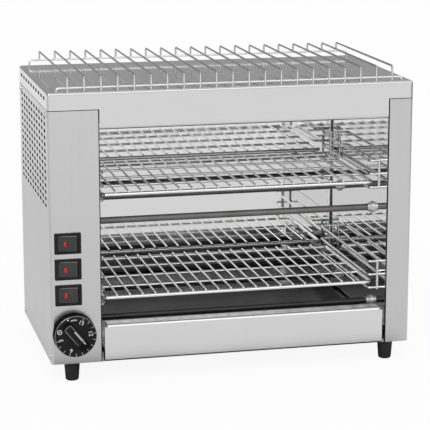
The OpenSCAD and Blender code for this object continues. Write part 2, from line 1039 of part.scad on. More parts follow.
// Moulded knob: a hollow drum with a hub for the shaft and a raised grip on its face
module timer_knob()
    color([0.1, 0.1, 0.1])
        on_timer(front - knob_gap)
            difference() {
                union() {
                    knob_drum();
                    rotate([0, 0, grip_turn])
                        grip();
                }
                translate([0, 0, -cut])
                    cylinder(h = knob_well_h + cut, d = knob_well_d);
                cylinder(h = knob_bore - knob_gap, d = shaft_d + thread_clear);
            }

// Drum with a slight draft, a rounded rim and a ring-shaped hollow behind its face
module knob_drum()
    rotate_extrude() {
        r = knob_d / 2;
        face_r = r - knob_draft;
        hub = knob_well_d / 2 + knob_wall;
        difference() {
            union() {
                polygon([[0, 0], [r, 0], [face_r, knob_t - rim_round], [0, knob_t - rim_round]]);
                square([face_r - rim_round, knob_t]);
                translate([face_r - rim_round, knob_t - rim_round])
                    circle(rim_round);
            }
            translate([hub, -cut])
                square([r - knob_wall - hub, knob_t - knob_wall + cut]);
        }
    }

// Bar across the face: round at its tall upper end, sloping down to the face at the other
module grip() {
    wide = grip_w / 2;
    base = knob_t - knob_wall / 2;
    crest = knob_t + grip_h;
    intersection() {
        rotate([90, 0, 0])
            linear_extrude(4 * grip_up, center = true)
                polygon([
                    [-wide, base], [wide, base], [wide - grip_draft, crest - grip_chamfer],
                    [wide - grip_draft - grip_chamfer, crest], [grip_draft + grip_chamfer - wide, crest],
                    [grip_draft - wide, crest - grip_chamfer]
                ]);
        rotate([90, 0, 90])
            linear_extrude(2 * grip_w, center = true)
                polygon([
                    [-grip_down, base], [grip_up, base], [grip_up, crest - grip_drop],
                    [grip_up - grip_nose, crest], [-grip_flat, crest], [-grip_down, knob_t + grip_tail]
                ]);
        linear_extrude(2 * crest) {
            translate([0, grip_up - wide])
                circle(wide);
            span([-wide, -grip_down], [wide, grip_up - wide]);
        }
    }
}

// Wiring pieces in the control bay

module terminal_block()
    color("ivory")
        difference() {
            translate([block_x - block_w / 2, block_y - block_len / 2, floor_z])
                cube([block_w, block_len, block_h]);
            for (i = [-1:1]) {
                y = block_y + i * block_pitch;
                rod_x(block_x - block_w, block_x + block_w, y, block_wire_z, block_wire_d);
                rod_z(block_x, y, block_wire_z, floor_z + block_h + cut, block_screw_d);
            }
        }

module terminal_clamps()
    color("goldenrod")
        for (i = [-1:1]) {
            y = block_y + i * block_pitch;
            end = clamp_len / 2;
            difference() {
                union() {
                    rod_x(block_x - end, block_x + end, y, block_wire_z, clamp_d);
                    rod_z(block_x, y, block_wire_z, floor_z + block_h - clamp_screw_drop, clamp_screw_d);
                }
                rod_x(block_x - end - cut, block_x - end + clamp_bore_len - cut, y, block_wire_z, clamp_bore);
                rod_x(block_x + end - clamp_bore_len + cut, block_x + end + cut, y, block_wire_z, clamp_bore);
            }
        }

module earth_stud()
    color("goldenrod")
        translate([bay_x, stud_y, floor_z]) {
            cylinder(h = stud_nut_t, d = stud_nut_w, $fn = 6);
            cylinder(h = stud_len, d = stud_d);
        }

module cable_gland()
    color([0.1, 0.1, 0.1])
        translate([gland_x, back, gland_z])
            rotate([-90, 0, 0])
                difference() {
                    union() {
                        translate([0, 0, -gland_thread_in])
                            cylinder(h = gland_thread_in + cut, d = gland_thread_d);
                        cylinder(h = gland_hex_t, d = gland_hex, $fn = 6);
                        cylinder(h = gland_out - gland_dome, d = gland_d);
                        translate([0, 0, gland_out - gland_dome])
                            rotate_extrude()
                                intersection() {
                                    circle(d = gland_d);
                                    square([gland_d, gland_dome]);
                                }
                    }
                    translate([0, 0, -gland_thread_in - cut])
                        cylinder(h = gland_thread_in + gland_out + 2 * cut, d = gland_bore);
                }

module gland_nut()
    color([0.1, 0.1, 0.1])
        translate([gland_x, back - sheet, gland_z])
            rotate([90, 0, 0])
                difference() {
                    cylinder(h = gland_nut_t, d = gland_hex, $fn = 6);
                    translate([0, 0, -cut])
                        cylinder(h = gland_nut_t + 2 * cut, d = gland_thread_d + thread_clear);
                }

// Fasteners and feet

module casing_screws()
    color("silver")
        for (s = [-1, 1], y = side_screw_y, z = side_screw_z)
            translate([s * body_w / 2, y, z])
                rotate([0, s * 90, 0])
                    screw(screw_len);

module rear_screws()
    color("silver")
        for (x = rear_screw_x, z = rear_screw_z)
            translate([x, back, z])
                rotate([-90, 0, 0])
                    screw(screw_len);

// Tapered rubber foot, recessed below for its screw
module foot(sx, sy)
    color([0.12, 0.12, 0.12])
        translate([sx * foot_x, sy * foot_y, 0])
            difference() {
                foot_outside();
                translate([0, 0, -cut])
                    cylinder(h = foot_recess_h + cut, d = foot_recess_d);
                cylinder(h = foot_h, d = foot_screw_d + screw_clear);
            }

module foot_outside() {
    r_low = foot_d / 2 - foot_taper;
    rotate_extrude() {
        polygon([[0, foot_edge], [r_low, foot_edge], [foot_d / 2, foot_h], [0, foot_h]]);
        square([r_low - foot_edge, foot_h]);
        translate([r_low - foot_edge, foot_edge])
            intersection() {
                circle(foot_edge);
                translate([0, -foot_edge])
                    square([foot_edge, 2 * foot_edge]);
            }
    }
}

module foot_screws()
    color("silver")
        for (p = foot_points())
            translate([p.x, p.y, foot_recess_h])
                rotate([180, 0, 0])
                    screw(foot_h - foot_recess_h + sheet + foot_nut_h - 1,
                          foot_screw_d, foot_head_d, foot_head_h);

// Rivet nuts in the base plate
module foot_nuts()
    color("silver")
        for (p = foot_points())
            translate([p.x, p.y, floor_z])
                difference() {
                    cylinder(h = foot_nut_h, d = foot_nut_d);
                    translate([0, 0, -cut])
                        cylinder(h = foot_nut_h + 2 * cut, d = foot_screw_d + thread_clear);
                }

// Warming grid: hairpin wires on two cross wires whose ends stand on the cover
module top_grid()
    color("silver") {
        y = [front + grid_inset, back - grid_inset];
        z = top + grid_h;
        foot_z = [top + run_gap, top + grid_rear_z];
        cross_z = [top + grid_front_z, top + grid_rear_z];
        cross_y = [y[0] + grid_wire - weld, y[1] - grid_wire + weld];
        half = (grid_n - 1) / 2;
        peg_x = half * grid_pitch + peg_out;
        for (i = [-half:half])
            translate([i * grid_pitch, 0, 0]) {
                rod_y(0, y[0] + grid_bend, y[1] - grid_bend, z, grid_wire);
                for (e = [0, 1]) {
                    rod_z(0, y[e], foot_z[e] - (e == 0 ? 0 : grid_wire / 2), z - grid_bend, grid_wire);
                    translate([0, y[e] + (e == 0 ? 1 : -1) * grid_bend, z - grid_bend])
                        rotate([90, 0, 90])
                            elbow(grid_bend, grid_wire, e == 0 ? 90 : 0);
                }
            }
        for (e = [0, 1]) {
            rod_x(grid_bend - peg_x, peg_x - grid_bend, cross_y[e], cross_z[e], grid_wire);
            for (s = [-1, 1]) {
                translate([s * (peg_x - grid_bend), cross_y[e], cross_z[e] - grid_bend])
                    rotate([90, 0, 0])
                        elbow(grid_bend, grid_wire, s > 0 ? 0 : 90);
                rod_z(s * peg_x, cross_y[e], top + run_gap, cross_z[e] - grid_bend, grid_wire);
            }
        }
    }

base_plate();
left_casing();
right_casing();
top_cover();
rear_panel();
cavity_liner();
ceiling_reflector();
heat_shield();
guide(1);  // upper_left_guide
mirrored() guide(1);  // upper_right_guide
guide(0);  // lower_left_guide
mirrored() guide(0);  // lower_right_guide
element(2, 0);  // top_front_element
element(2, 1);  // top_rear_element
element(1, 0);  // middle_front_element
element(1, 1);  // middle_rear_element
element(0, 0);  // lower_front_element
element(0, 1);  // lower_rear_element
element_bushes();
element_terminals();
tray_rails();
switch_housing(0);  // switch_1_housing
switch_housing(1);  // switch_2_housing
switch_housing(2);  // switch_3_housing
switch_terminals();
timer_body();
timer_nut();
terminal_block();
terminal_clamps();
cable_gland();
gland_nut();
earth_stud();
casing_screws();
rear_screws();
foot(-1, -1);  // foot_front_left
foot(1, -1);  // foot_front_right
foot(-1, 1);  // foot_rear_left
foot(1, 1);  // foot_rear_right
foot_screws();
foot_nuts();
rocker(0);  // rocker_1
rocker(1);  // rocker_2
rocker(2);  // rocker_3
lens(0);  // lens_1
lens(1);  // lens_2
lens(2);  // lens_3
timer_knob();
timer_shaft();
rack(1);  // upper_rack
rack(0);  // lower_rack
tray_pan();
tray_front();
top_grid();
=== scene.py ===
# %% [markdown]
# # A two-level salamander grill
# The construction of this grill is already modelled: every folded sheet, wire and tube arrives as a
# finished node in metres. This lesson gives those nodes their finishes, adds the moulded and printed
# details that are finer than the construction, and sets up a plain studio round them.

# %% Load the frame
import json
import math

import bpy
import numpy as np
from mathutils import Euler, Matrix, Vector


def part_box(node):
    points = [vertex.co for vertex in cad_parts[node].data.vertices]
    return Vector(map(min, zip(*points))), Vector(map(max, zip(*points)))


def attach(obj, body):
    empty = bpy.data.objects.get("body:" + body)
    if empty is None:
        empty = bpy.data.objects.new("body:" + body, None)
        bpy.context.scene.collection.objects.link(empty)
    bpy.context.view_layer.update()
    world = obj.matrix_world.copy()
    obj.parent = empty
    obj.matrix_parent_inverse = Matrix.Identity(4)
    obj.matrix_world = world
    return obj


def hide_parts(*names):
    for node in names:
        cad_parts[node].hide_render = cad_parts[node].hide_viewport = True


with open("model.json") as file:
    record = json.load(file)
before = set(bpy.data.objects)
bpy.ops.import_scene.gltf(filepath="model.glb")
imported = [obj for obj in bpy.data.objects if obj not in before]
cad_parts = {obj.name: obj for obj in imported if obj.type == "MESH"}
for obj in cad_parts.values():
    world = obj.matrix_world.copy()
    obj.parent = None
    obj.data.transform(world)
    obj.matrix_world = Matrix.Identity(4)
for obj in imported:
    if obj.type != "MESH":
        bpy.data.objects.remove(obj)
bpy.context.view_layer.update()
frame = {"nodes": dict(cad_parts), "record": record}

nodes = frame["nodes"]

# %% [markdown]
# ## Camera
# The picture is taken from the grill's left and a little above it, with a long lens, so that the front
# and the left side both show and the edges stay nearly parallel. A lens of a known length in pixels
# becomes millimetres through the width of the sensor. The camera stands level across its width and is
# only tipped down, so that the grill doesn't lean.

# %% Camera
IMAGE_SIZE = 430
SENSOR = 36.0
FOCAL_PIXELS = 1833.8
CAMERA_PLACE = (-0.5133, -2.1721, 0.6615)
CAMERA_YAW = -13.43
CAMERA_PITCH = -12.51
CLIP_END = 100.0

lens = bpy.data.cameras.new("camera")
lens.sensor_width = SENSOR
lens.lens = FOCAL_PIXELS / IMAGE_SIZE * SENSOR
lens.clip_end = CLIP_END
camera = bpy.data.objects.new("camera", lens)
camera.location = CAMERA_PLACE
camera.rotation_euler = Euler((math.radians(90 + CAMERA_PITCH), 0, math.radians(CAMERA_YAW)), "XYZ")
bpy.context.collection.objects.link(camera)
bpy.context.scene.camera = camera
bpy.context.scene.view_settings.view_transform = "Standard"
print("lens", round(lens.lens, 1), "mm")

# %% [markdown]
# ## Small helpers for nodes
# Materials in this lesson are built from nodes in code. Building them by hand in the editor would work
# too, but code can give ten steels one recipe. A few helpers keep it readable: they add a node and fill
# in its inputs by name, start a material, write a grey, do a sum, spread a value between two levels and
# mix two colours by a mask.

# %% Node helpers
MIX_MASK, MIX_FIRST, MIX_SECOND, MIX_RESULT = 0, 6, 7, 2


def add_node(tree, kind, **inputs):
    """Adds a shader node of a kind and sets its inputs by name, an underscore standing for a space."""
    made = tree.nodes.new("ShaderNode" + kind)
    for name, value in inputs.items():
        made.inputs[name.replace("_", " ")].default_value = value
    return made


def start_finish(name, metallic, roughness):
    """A new material: returns it with its node tree and its Principled shader."""
    made = bpy.data.materials.new(name)
    made.use_nodes = True
    shader = made.node_tree.nodes["Principled BSDF"]
    shader.inputs["Metallic"].default_value = metallic
    shader.inputs["Roughness"].default_value = roughness
    return made, made.node_tree, shader


def grey(value):
    """A neutral colour."""
    return (value, value, value, 1.0)


def work_out(tree, operation, first, second):
    """A Math node: each side is a socket to link or a plain number; returns the result."""
    made = add_node(tree, "Math")
    made.operation = operation
    for side, value in zip(made.inputs, (first, second)):
        if isinstance(value, (int, float)):
            side.default_value = value
        else:
            tree.links.new(value, side)
    return made.outputs[0]


def spread_value(tree, source, low, high, start=0.0, stop=1.0):
    """Maps a value that runs from start to stop onto low to high, softly and no further than its ends."""
    made = add_node(tree, "MapRange", From_Min=start, From_Max=stop, To_Min=low, To_Max=high)
    made.interpolation_type = "SMOOTHSTEP"
    tree.links.new(source, made.inputs["Value"])
    return made.outputs["Result"]


def spread_colour(tree, source, first, second):
    """Mixes two colours by a mask; the Mix node keeps its colour sockets behind those of other kinds."""
    made = tree.nodes.new("ShaderNodeMix")
    made.data_type = "RGBA"
    made.inputs[MIX_FIRST].default_value = first
    made.inputs[MIX_SECOND].default_value = second
    tree.links.new(source, made.inputs[MIX_MASK])
    return made.outputs[MIX_RESULT]


print("node helpers ready")

# %% [markdown]
# ## Meshes from arrays
# Every new piece below is a surface worked out on a grid. A grid that closes on itself, such as a ring
# of points repeated from the bottom of a screw head to its crown, needs the same corner numbers each
# time: quads between neighbouring rows and a fan of triangles to one point at each end. Writing that
# down once keeps all seams and poles closed.

# %% Mesh helpers


def mesh_object(name, points, faces, smooth=True):
    """A mesh object from an array of points and a list of faces as corner numbers."""
    mesh = bpy.data.meshes.new(name)
    mesh.from_pydata(np.asarray(points).reshape(-1, 3).tolist(), [], faces)
    mesh.validate()
    mesh.polygons.foreach_set("use_smooth", np.full(len(mesh.polygons), smooth))
    made = bpy.data.objects.new(name, mesh)
    bpy.context.collection.objects.link(made)
    return made


def ring_faces(rows, columns):
    """Corner numbers of rows of points that each close into a ring, plus one point for each end.

    Quads join neighbouring rows; a fan joins the first row to the last point but one, and the last
    row to the last point.
    """
    ring = np.arange(rows * columns).reshape(rows, columns)
    onward = np.roll(ring, -1, axis=1)
    quads = np.stack([ring[:-1], onward[:-1], onward[1:], ring[1:]], axis=-1).reshape(-1, 4)
    start = np.stack([np.full(columns, rows * columns), onward[0], ring[0]], axis=-1)
    end = np.stack([np.full(columns, rows * columns + 1), ring[-1], onward[-1]], axis=-1)
    return quads, np.concatenate([start, end])


def repeat_shape(points, quads, fans, frames, places):
    """Copies of one shape: points times each 3 by 3 frame plus its place, with corner numbers shifted."""
    copies = np.einsum("nk,ckj->cnj", points, np.asarray(frames)) + np.asarray(places)[:, None, :]
    shift = np.arange(len(places))[:, None, None] * len(points)
    faces = (quads + shift).reshape(-1, 4).tolist() + (fans + shift).reshape(-1, 3).tolist()
    return copies.reshape(-1, 3), faces


print("mesh helpers ready")

# %% [markdown]
# ## Floor
# The grill stands on a white sweep. For the camera, and in the steel's reflections, the floor is mixed
# with a white glow so that it reads as a white background without more light on the grill. The rest of
# the floor is ordinary matt paint, which keeps the shadow under the feet. For reflections only, the floor
# carries painted shade: a little deeper near the grill and to its left, and much deeper far to the right,
# which gives upright steel its slow fade. Right under the grill a painted shadow makes it nearly black,
# and the lowest bends of the sheets, which look down, get their dark line from that.

# %% Floor
FLOOR_HALF = 30.0
FLOOR_SHADE, FLOOR_ROUGHNESS = 0.95, 0.95
CAMERA_GLOW = 0.92
MIRROR_GLOW = 0.60
UNDER_SHADOW, UNDER_X, UNDER_Y, UNDER_EDGE = 0.10, 0.21, 0.18, 0.03
NEAR_SHADE, NEAR_FROM, NEAR_TO = 0.80, 0.8, 1.7
LEFT_TONE, LEFT_FROM, LEFT_TO = 0.88, -0.75, -0.15
RIGHT_TONE, RIGHT_FROM, RIGHT_TO = 0.40, 1.7, 1.05

corner = np.array([[-1, -1], [1, -1], [1, 1], [-1, 1]]) * FLOOR_HALF
floor = mesh_object("floor", np.c_[corner, np.zeros(4)], [[0, 1, 2, 3]], smooth=False)
floor_paint, tree, shader = start_finish("floor_paint", 0.0, FLOOR_ROUGHNESS)
shader.inputs["Specular IOR Level"].default_value = 0.0
place = add_node(tree, "TexCoord")
split = add_node(tree, "SeparateXYZ")
tree.links.new(place.outputs["Object"], split.inputs[0])
seen = add_node(tree, "LightPath").outputs
# Painted shade seen only in mirrors: nearly black under the grill, deeper near it and to its left, much
# deeper far to its right.
away = work_out(tree, "ABSOLUTE", split.outputs["Y"], 0.0)
aside = work_out(tree, "ABSOLUTE", split.outputs["X"], 0.0)
beyond = work_out(tree, "MAXIMUM", work_out(tree, "SUBTRACT", aside, UNDER_X),
                  work_out(tree, "SUBTRACT", away, UNDER_Y))
under = spread_value(tree, beyond, UNDER_SHADOW, 1.0, 0.0, UNDER_EDGE)
near = work_out(tree, "MULTIPLY", under, spread_value(tree, away, NEAR_SHADE, 1.0, NEAR_FROM, NEAR_TO))
left = spread_value(tree, split.outputs["X"], LEFT_TONE, 1.0, LEFT_FROM, LEFT_TO)
right = spread_value(tree, split.outputs["X"], 1.0, RIGHT_TONE, RIGHT_TO, RIGHT_FROM)
sides = work_out(tree, "MULTIPLY", left, right)
depth = work_out(tree, "SUBTRACT", 1.0, work_out(tree, "MULTIPLY", near, sides))
tone = work_out(tree, "SUBTRACT", 1.0, work_out(tree, "MULTIPLY", depth, seen["Is Glossy Ray"]))
tree.links.new(spread_colour(tree, tone, grey(0.0), grey(FLOOR_SHADE)), shader.inputs["Base Color"])
print("floor", 2 * FLOOR_HALF, "m across")

# %% [markdown]
# The glow is a white Emission shader whose strength is the tone worked out above. Light Path says what
# kind of ray asks: rays from the camera, also through something clear, get most of the glow, rays from a
# mirror get some of it, and all others meet plain paint.

# %% Floor glow
glow = add_node(tree, "Emission", Color=grey(1.0))
tree.links.new(tone, glow.inputs["Strength"])
straight = work_out(tree, "MAXIMUM", seen["Is Camera Ray"], seen["Is Transmission Ray"])
share = work_out(tree, "MAXIMUM", work_out(tree, "MULTIPLY", straight, CAMERA_GLOW),
                 work_out(tree, "MULTIPLY", seen["Is Glossy Ray"], MIRROR_GLOW))
blend = add_node(tree, "MixShader")
tree.links.new(share, blend.inputs[0])
tree.links.new(shader.outputs[0], blend.inputs[1])
tree.links.new(glow.outputs[0], blend.inputs[2])
tree.links.new(blend.outputs[0], tree.nodes["Material Output"].inputs["Surface"])
floor.data.materials.append(floor_paint)
print("glow", CAMERA_GLOW, "to the camera,", MIRROR_GLOW, "in mirrors")

# %% [markdown]
# ## Light
# Polished steel shows its surroundings more than itself, so the studio matters as much as the finish.
# The wall behind the grill is darker than the ceiling and the wall behind the camera, and a brighter
# window stands high behind the camera. The top of the cover mirrors the far wall and turns a deeper
# grey, while bends and rods that face the front mirror the bright side and turn white. One wide sun from
# the front left adds soft shadows.

# %% World and sun
BACK_LIGHT, FRONT_LIGHT = 0.36, 0.65
WALL_FRONT, WALL_BACK = -0.5, 0.6
CEILING_LIGHT = 0.68
WALL_TOP, CEILING_FROM = 0.16, 0.66
WINDOW_LIGHT = 0.85
WINDOW_FULL, WINDOW_END = -0.8, -0.35
WINDOW_LOW, WINDOW_HIGH = 0.15, 0.40
SUN_STRENGTH = 0.6
SUN_WIDTH = 35.0
SUN_TILT = (42.0, 0.0, -38.0)

world = bpy.data.worlds.new("studio")
world.use_nodes = True
bpy.context.scene.world = world
tree = world.node_tree
sky = tree.nodes["Background"]
sky.inputs["Color"].default_value = grey(1.0)
direction = add_node(tree, "TexCoord")
split = add_node(tree, "SeparateXYZ")
tree.links.new(direction.outputs["Generated"], split.inputs[0])
ahead, up = split.outputs["Y"], split.outputs["Z"]
wall = spread_value(tree, ahead, FRONT_LIGHT, BACK_LIGHT, WALL_FRONT, WALL_BACK)
height = spread_value(tree, up, 0.0, 1.0, WALL_TOP, CEILING_FROM)
climb = work_out(tree, "MULTIPLY", height, work_out(tree, "SUBTRACT", CEILING_LIGHT, wall))
window = work_out(tree, "MULTIPLY", spread_value(tree, ahead, WINDOW_LIGHT, 0.0, WINDOW_FULL, WINDOW_END),
                  spread_value(tree, up, 0.0, 1.0, WINDOW_LOW, WINDOW_HIGH))
room = work_out(tree, "ADD", wall, climb)
tree.links.new(work_out(tree, "ADD", room, window), sky.inputs["Strength"])

sun_light = bpy.data.lights.new("sun", "SUN")
sun_light.energy = SUN_STRENGTH
sun_light.angle = math.radians(SUN_WIDTH)
sun = bpy.data.objects.new("sun", sun_light)
sun.rotation_euler = Euler([math.radians(v) for v in SUN_TILT], "XYZ")
bpy.context.collection.objects.link(sun)
print("walls", BACK_LIGHT, "and", FRONT_LIGHT, "ceiling", CEILING_LIGHT, "sun", SUN_STRENGTH)

# %% [markdown]
# ## Effects that several finishes share
# Three things turn up again and again on this grill. Rolled and brushed sheet carries fine streaks in
# one direction. Handled metal has broad, faint patches where it is a little duller. Moulded plastic has
# a fine even skin from the tool it came out of. Each is a node group, made once, and every finish that
# needs it places the group with its own values.

# %% Shared effects
EVEN_STRETCH = (100, 100, 100)


def start_effect(name, inputs, outputs):
    """An empty node group with named sockets; returns it with its input and output nodes."""
    group = bpy.data.node_groups.new(name, "ShaderNodeTree")
    for title, kind, value in inputs:
        group.interface.new_socket(title, in_out="INPUT", socket_type=kind).default_value = value
    for title in outputs:
        group.interface.new_socket(title, in_out="OUTPUT", socket_type="NodeSocketFloat")
    return group, group.nodes.new("NodeGroupInput"), group.nodes.new("NodeGroupOutput")


def noise_effect(name, title, detail, rough, low, high):
    """A group that stretches Object coordinates, reads noise there and spreads it from 0 to 1."""
    group, given, result = start_effect(name, [("Stretch", "NodeSocketVector", EVEN_STRETCH)], [title])
    place = add_node(group, "TexCoord")
    stretch = add_node(group, "VectorMath")
    stretch.operation = "MULTIPLY"
    noise = add_node(group, "TexNoise", Scale=1.0, Detail=detail, Roughness=rough)
    spread = add_node(group, "MapRange", From_Min=low, From_Max=high)
    group.links.new(place.outputs["Object"], stretch.inputs[0])
    group.links.new(given.outputs["Stretch"], stretch.inputs[1])
    group.links.new(stretch.outputs[0], noise.inputs["Vector"])
    group.links.new(noise.outputs["Fac"], spread.inputs["Value"])
    group.links.new(spread.outputs["Result"], result.inputs[title])
    return group


brushing = noise_effect("brushing", "Streaks", detail=3.0, rough=0.6, low=0.3, high=0.7)
handling = noise_effect("handling", "Haze", detail=4.0, rough=0.55, low=0.35, high=0.7)
moulding = noise_effect("moulding", "Skin", detail=2.0, rough=0.5, low=0.3, high=0.7)
print("effects", [g.name for g in (brushing, handling, moulding)])

# %% [markdown]
# A fourth effect marks places: painted shade on inner faces that never see light, on walls of vent slots,
# along the edges round the hot mouth and on the grid's long wires, and plastic edges worn to a shine.
# Painting such places by hand would tie them to one mesh. Every one of them fits in a box, so the group
# measures how far a point lies inside a box and lets the mask rise over a soft edge.

# %% Marked places
PLACE_EDGE = 0.001


def box_effect():
    """A group whose mask is 1 inside a box: the least distance to its faces, spread over a soft edge."""
    group, given, result = start_effect("marked_place", [
        ("Middle", "NodeSocketVector", (0, 0, 0)), ("Half", "NodeSocketVector", (1, 1, 1)),
        ("Edge", "NodeSocketFloat", PLACE_EDGE)], ["Mask"])
    place = add_node(group, "TexCoord")
    offset, aside, inside = [add_node(group, "VectorMath") for i in range(3)]
    offset.operation, aside.operation, inside.operation = "SUBTRACT", "ABSOLUTE", "SUBTRACT"
    group.links.new(place.outputs["Object"], offset.inputs[0])
    group.links.new(given.outputs["Middle"], offset.inputs[1])
    group.links.new(offset.outputs[0], aside.inputs[0])
    group.links.new(given.outputs["Half"], inside.inputs[0])
    group.links.new(aside.outputs[0], inside.inputs[1])
    split = add_node(group, "SeparateXYZ")
    group.links.new(inside.outputs[0], split.inputs[0])
    flat = work_out(group, "MINIMUM", split.outputs["X"], split.outputs["Y"])
    least = work_out(group, "MINIMUM", flat, split.outputs["Z"])
    rise = add_node(group, "MapRange")
    group.links.new(least, rise.inputs["Value"])
    group.links.new(given.outputs["Edge"], rise.inputs["From Max"])
    group.links.new(rise.outputs["Result"], result.inputs["Mask"])
    return group


marked_place = box_effect()
print("effect", marked_place.name)

# %% [markdown]
# Placing an effect in a material takes the same lines each time, so they become helpers: one for the
# noise groups, one for the box group, one that mixes a dark grey into a colour inside boxes, and one that
# turns a mask into a shallow bump. A bump is enough here, because the relief is a few hundredths of a
# millimetre at most; everything that shows as a shape is geometry.

# %% Placing an effect


def place_effect(tree, group, stretch):
    """Puts a group into a material with its own stretch; returns its one output."""
    made = tree.nodes.new("ShaderNodeGroup")
    made.node_tree = group
    made.inputs["Stretch"].default_value = stretch
    return made.outputs[0]


def box_mask(tree, low, high, edge):
    """Puts the box group into a material for a box between two corners; returns its mask."""
    made = tree.nodes.new("ShaderNodeGroup")
    made.node_tree = marked_place
    made.inputs["Middle"].default_value = np.add(high, low) / 2
    made.inputs["Half"].default_value = np.subtract(high, low) / 2
    made.inputs["Edge"].default_value = edge
    return made.outputs[0]


def darken(tree, colour, boxes, dark):
    """Mixes a dark grey over a colour inside each box, given by two corners and a soft edge."""
    for box in boxes:
        dulled = spread_colour(tree, box_mask(tree, *box), grey(0.0), grey(dark))
        tree.links.new(colour, dulled.node.inputs[MIX_FIRST])
        colour = dulled
    return colour


def add_relief(tree, shader, source, strength, height):
    """Turns a mask into a bump of a height in metres on the shader's normal."""
    made = add_node(tree, "Bump", Strength=strength, Distance=height)
    tree.links.new(source, made.inputs["Height"])
    tree.links.new(made.outputs["Normal"], shader.inputs["Normal"])


print("helpers for effects ready")

# %% [markdown]
# ## Steel
# The casing is satin stainless sheet: bright, a little soft in its reflections, with streaks along the
# direction it was rolled in. The liner is the same metal polished to a mirror, and the wires are drawn
# and plated. All of them are one recipe with other values: two close greys mixed by the streaks, and a
# roughness that rises where the metal has been handled.

# %% Steel recipe
HANDLED = (14, 14, 14)
RELIEF_STRENGTH = 0.3


def steel_finish(name, shade, spread, roughness, haze, stretch, relief, boxes=(), dark=0.0):
    """Metal with streaks of two greys, a hazy roughness and a shallow brushed relief in metres.

    Inside the boxes the metal takes the dark grey instead, as painted shade.
    """
    made, tree, shader = start_finish(name, 1.0, roughness)
    streaks = place_effect(tree, brushing, stretch)
    patches = place_effect(tree, handling, HANDLED)
    colour = spread_colour(tree, streaks, grey(shade - spread), grey(shade + spread))
    dulled = spread_value(tree, patches, roughness - haze, roughness + haze)
    tree.links.new(darken(tree, colour, boxes, dark), shader.inputs["Base Color"])
    tree.links.new(dulled, shader.inputs["Roughness"])
    add_relief(tree, shader, streaks, RELIEF_STRENGTH, relief)
    return made


print("steel recipe ready")

# %% [markdown]
# The boxes of painted shade come next, in metres: two corners and the width of the soft edge. A side that
# needs no limit goes far out. The box of the casing's inside is smaller than the casing by just under the
# thickness of the sheet, so that the round outer bends stay bright, and the one of the slots' walls keeps
# clear of those bends. The painted shade along the tray's lower edge and on the grid's long wires fades in.

# %% Boxes of painted shade
FAR, SHARP = 1.0, 0.00005
LOW_END, HIGH_END = (-FAR, -FAR, -FAR), (FAR, FAR, FAR)
WIRE_FADE = 0.0025
EDGE_SHADE_HEIGHT, EDGE_SHADE_FADE = 0.0018, 0.0008
TRAY_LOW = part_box("tray_front")[0][2]

# Painted shade: the inside of the casing, the walls of its vent slots, a strip along the edges round the
# mouth and the tops of the sheets under the cover.
casing_inside = ((-0.21907, -0.11907, 0.02393), (0.21907, 0.11907, 0.34407), SHARP)
slot_walls = ((-0.2198, -0.1165, 0.0265), (0.2198, 0.1165, 0.3415), SHARP)
mouth_edges = ((-0.1611, -FAR, -FAR), (0.1911, FAR, FAR), SHARP)
sheet_tops = ((-FAR, -FAR, 0.3235), HIGH_END, SHARP)
# Painted shade on the liner beyond the walls of the cavity.
liner_left = (LOW_END, (-0.1725, FAR, FAR), SHARP)
liner_right = ((0.1905, -FAR, -FAR), HIGH_END, SHARP)
liner_rear = ((-FAR, 0.1125, -FAR), HIGH_END, SHARP)
# Painted shade: above this height the grid's long wires turn darker than its uprights.
long_wires = ((-FAR, -FAR, 0.3585), HIGH_END, WIRE_FADE)
# Painted shade along the lowest edge of the tray's front.
tray_edge = (LOW_END, (FAR, FAR, TRAY_LOW + EDGE_SHADE_HEIGHT), EDGE_SHADE_FADE)
print("tray's lower edge at", round(TRAY_LOW, 4))

# %% [markdown]
# With the recipe and the boxes in hand, each steel is one call. The stretch of the streaks is small along
# the direction of rolling and large across it.

# %% Steel finishes
ALONG_X = (7, 380, 380)
ALONG_Z = (380, 380, 7)
ROUND_WIRE = (160, 160, 160)
PLATED = (300, 300, 300)
# Greys of painted shade: the casing's hidden and shaded places, the grid's long wires and the tray's lower
# edge.
PAINTED_SHADE, WIRE_SHADE, EDGE_SHADE = 0.02, 0.40, 0.06

casing_steel = steel_finish("casing_steel", shade=0.70, spread=0.008, roughness=0.30, haze=0.02,
                            stretch=ALONG_Z, relief=2e-6, dark=PAINTED_SHADE,
                            boxes=(casing_inside, slot_walls, mouth_edges, sheet_tops))
cover_steel = steel_finish("cover_steel", shade=0.685, spread=0.008, roughness=0.08, haze=0.02,
                           stretch=ALONG_X, relief=6e-7, dark=PAINTED_SHADE, boxes=(casing_inside, slot_walls))
tray_steel = steel_finish("tray_steel", shade=0.86, spread=0.006, roughness=0.20, haze=0.02,
                          stretch=ALONG_X, relief=1e-6, dark=EDGE_SHADE, boxes=(tray_edge,))
plain_steel = steel_finish("plain_steel", shade=0.68, spread=0.012, roughness=0.36, haze=0.04,
                           stretch=ALONG_X, relief=8e-6)
# Painted shade: a darker copy of the polished steel, for the crumb pan and the heat shield.
shaded_steel = steel_finish("shaded_steel", shade=0.21, spread=0.03, roughness=0.16, haze=0.04,
                          stretch=ALONG_X, relief=3e-6)
polished_steel = steel_finish("polished_steel", shade=0.86, spread=0.008, roughness=0.05, haze=0.02,
                              stretch=ALONG_X, relief=1e-6, dark=PAINTED_SHADE,
                              boxes=(liner_left, liner_right, liner_rear))
guide_wire = steel_finish("guide_wire", shade=0.77, spread=0.03, roughness=0.14, haze=0.03,
                          stretch=ROUND_WIRE, relief=2e-6)
rack_wire = steel_finish("rack_wire", shade=0.85, spread=0.03, roughness=0.12, haze=0.03,
                         stretch=ROUND_WIRE, relief=2e-6)
grid_wire = steel_finish("grid_wire", shade=0.85, spread=0.03, roughness=0.10, haze=0.03,
                         stretch=ROUND_WIRE, relief=2e-6, dark=WIRE_SHADE, boxes=(long_wires,))
